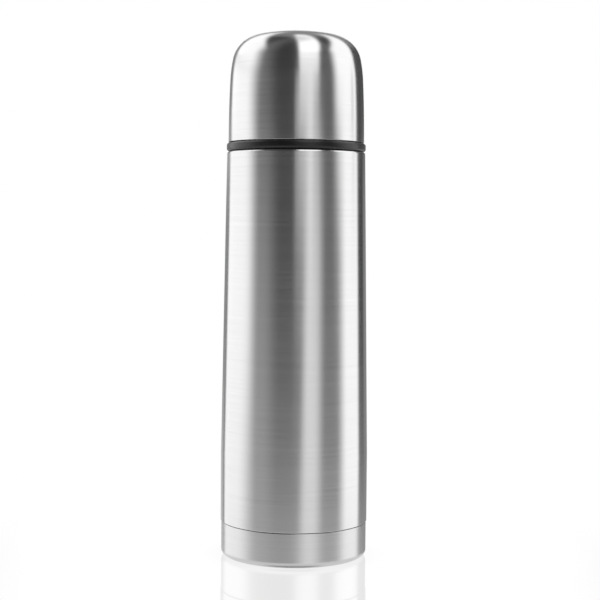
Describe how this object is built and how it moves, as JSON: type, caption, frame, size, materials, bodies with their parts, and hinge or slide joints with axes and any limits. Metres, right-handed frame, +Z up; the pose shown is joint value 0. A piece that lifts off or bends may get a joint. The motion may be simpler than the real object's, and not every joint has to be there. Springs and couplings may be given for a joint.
{
  "type": "insulated water bottle",
  "caption": "Double-walled steel vacuum flask with a domed cup lid, black rim ring, push-button stopper and flat base cap.",
  "frame": {"origin": "centre of the base, on the surface that the bottle stands on", "axes": "+Z up along the bottle's axis, towards the cup; +X to the right and -Y to the front, through the stopper's pour channel"},
  "size_m": [0.07, 0.07, 0.249],
  "materials": {
    "brushed_steel": "fine brush lines round the bottle",
    "plain_steel": "satin, as drawn",
    "black_plastic": "smooth gloss",
    "grey_plastic": "fine matt moulding",
    "silicone": "matt translucent white",
    "foil": "bright crinkled foil",
    "solder_glass": "dull grey bead",
    "getter": "pressed powder"
  },
  "bodies": {
    "flask": {"outer_shell": "brushed_steel", "inner_flask": "plain_steel", "outer_bottom_plate": "plain_steel", "vacuum_port_plug": "solder_glass", "getter_holder": "plain_steel", "getter_pellet": "getter", "radiation_foil": "foil", "base_cap": "brushed_steel"},
    "stopper_seal": {"stopper_gasket": "silicone"},
    "stopper": {"stopper_body": "black_plastic", "stopper_top_ring": "grey_plastic", "stem_o_ring": "silicone", "wing_pin_left": "plain_steel", "wing_pin_right": "plain_steel"},
    "button": {"centre_button": "grey_plastic", "valve_stem": "plain_steel", "valve_plate": "grey_plastic", "valve_seal": "silicone", "button_spring": "plain_steel"},
    "wing_left": {"release_wing_left": "grey_plastic"},
    "wing_right": {"release_wing_right": "grey_plastic"},
    "cup_ring": {"cup_rim_ring": "black_plastic"},
    "cup": {"cup_shell": "brushed_steel", "cup_liner": "black_plastic"}
  },
  "joints": [
    {"name": "stopper_lift", "type": "slide", "parent": "flask", "child": "stopper_seal", "axis": [0, 0, 1], "range_m": [0, 0.045]},
    {"name": "stopper_turn", "type": "hinge", "parent": "stopper_seal", "child": "stopper", "pos_m": [0, 0, 0.2066], "axis": [0, 0, 1], "range_deg": [0, 540]},
    {"name": "button_press", "type": "slide", "parent": "stopper", "child": "button", "axis": [0, 0, -1], "range_m": [0, 0.004], "stiffness_N_per_m": 900, "springref_m": -0.003, "deforming": ["button_spring"]},
    {"name": "wing_left_tilt", "type": "hinge", "parent": "stopper", "child": "wing_left", "pos_m": [-0.0192, 0, 0.2125], "axis": [0, -1, 0], "range_deg": [0, 8], "stiffness_Nm_per_rad": 0.05, "springref_deg": -2.86},
    {"name": "wing_right_tilt", "type": "hinge", "parent": "stopper", "child": "wing_right", "pos_m": [0.0192, 0, 0.2125], "axis": [0, 1, 0], "range_deg": [0, 8], "stiffness_Nm_per_rad": 0.05, "springref_deg": -2.86},
    {"name": "cup_lift", "type": "slide", "parent": "stopper_seal", "child": "cup_ring", "axis": [0, 0, 1], "range_m": [0, 0.075]},
    {"name": "cup_turn", "type": "hinge", "parent": "cup_ring", "child": "cup", "pos_m": [0, 0, 0.1967], "axis": [0, 0, 1], "range_deg": [0, 450]}
  ]
}
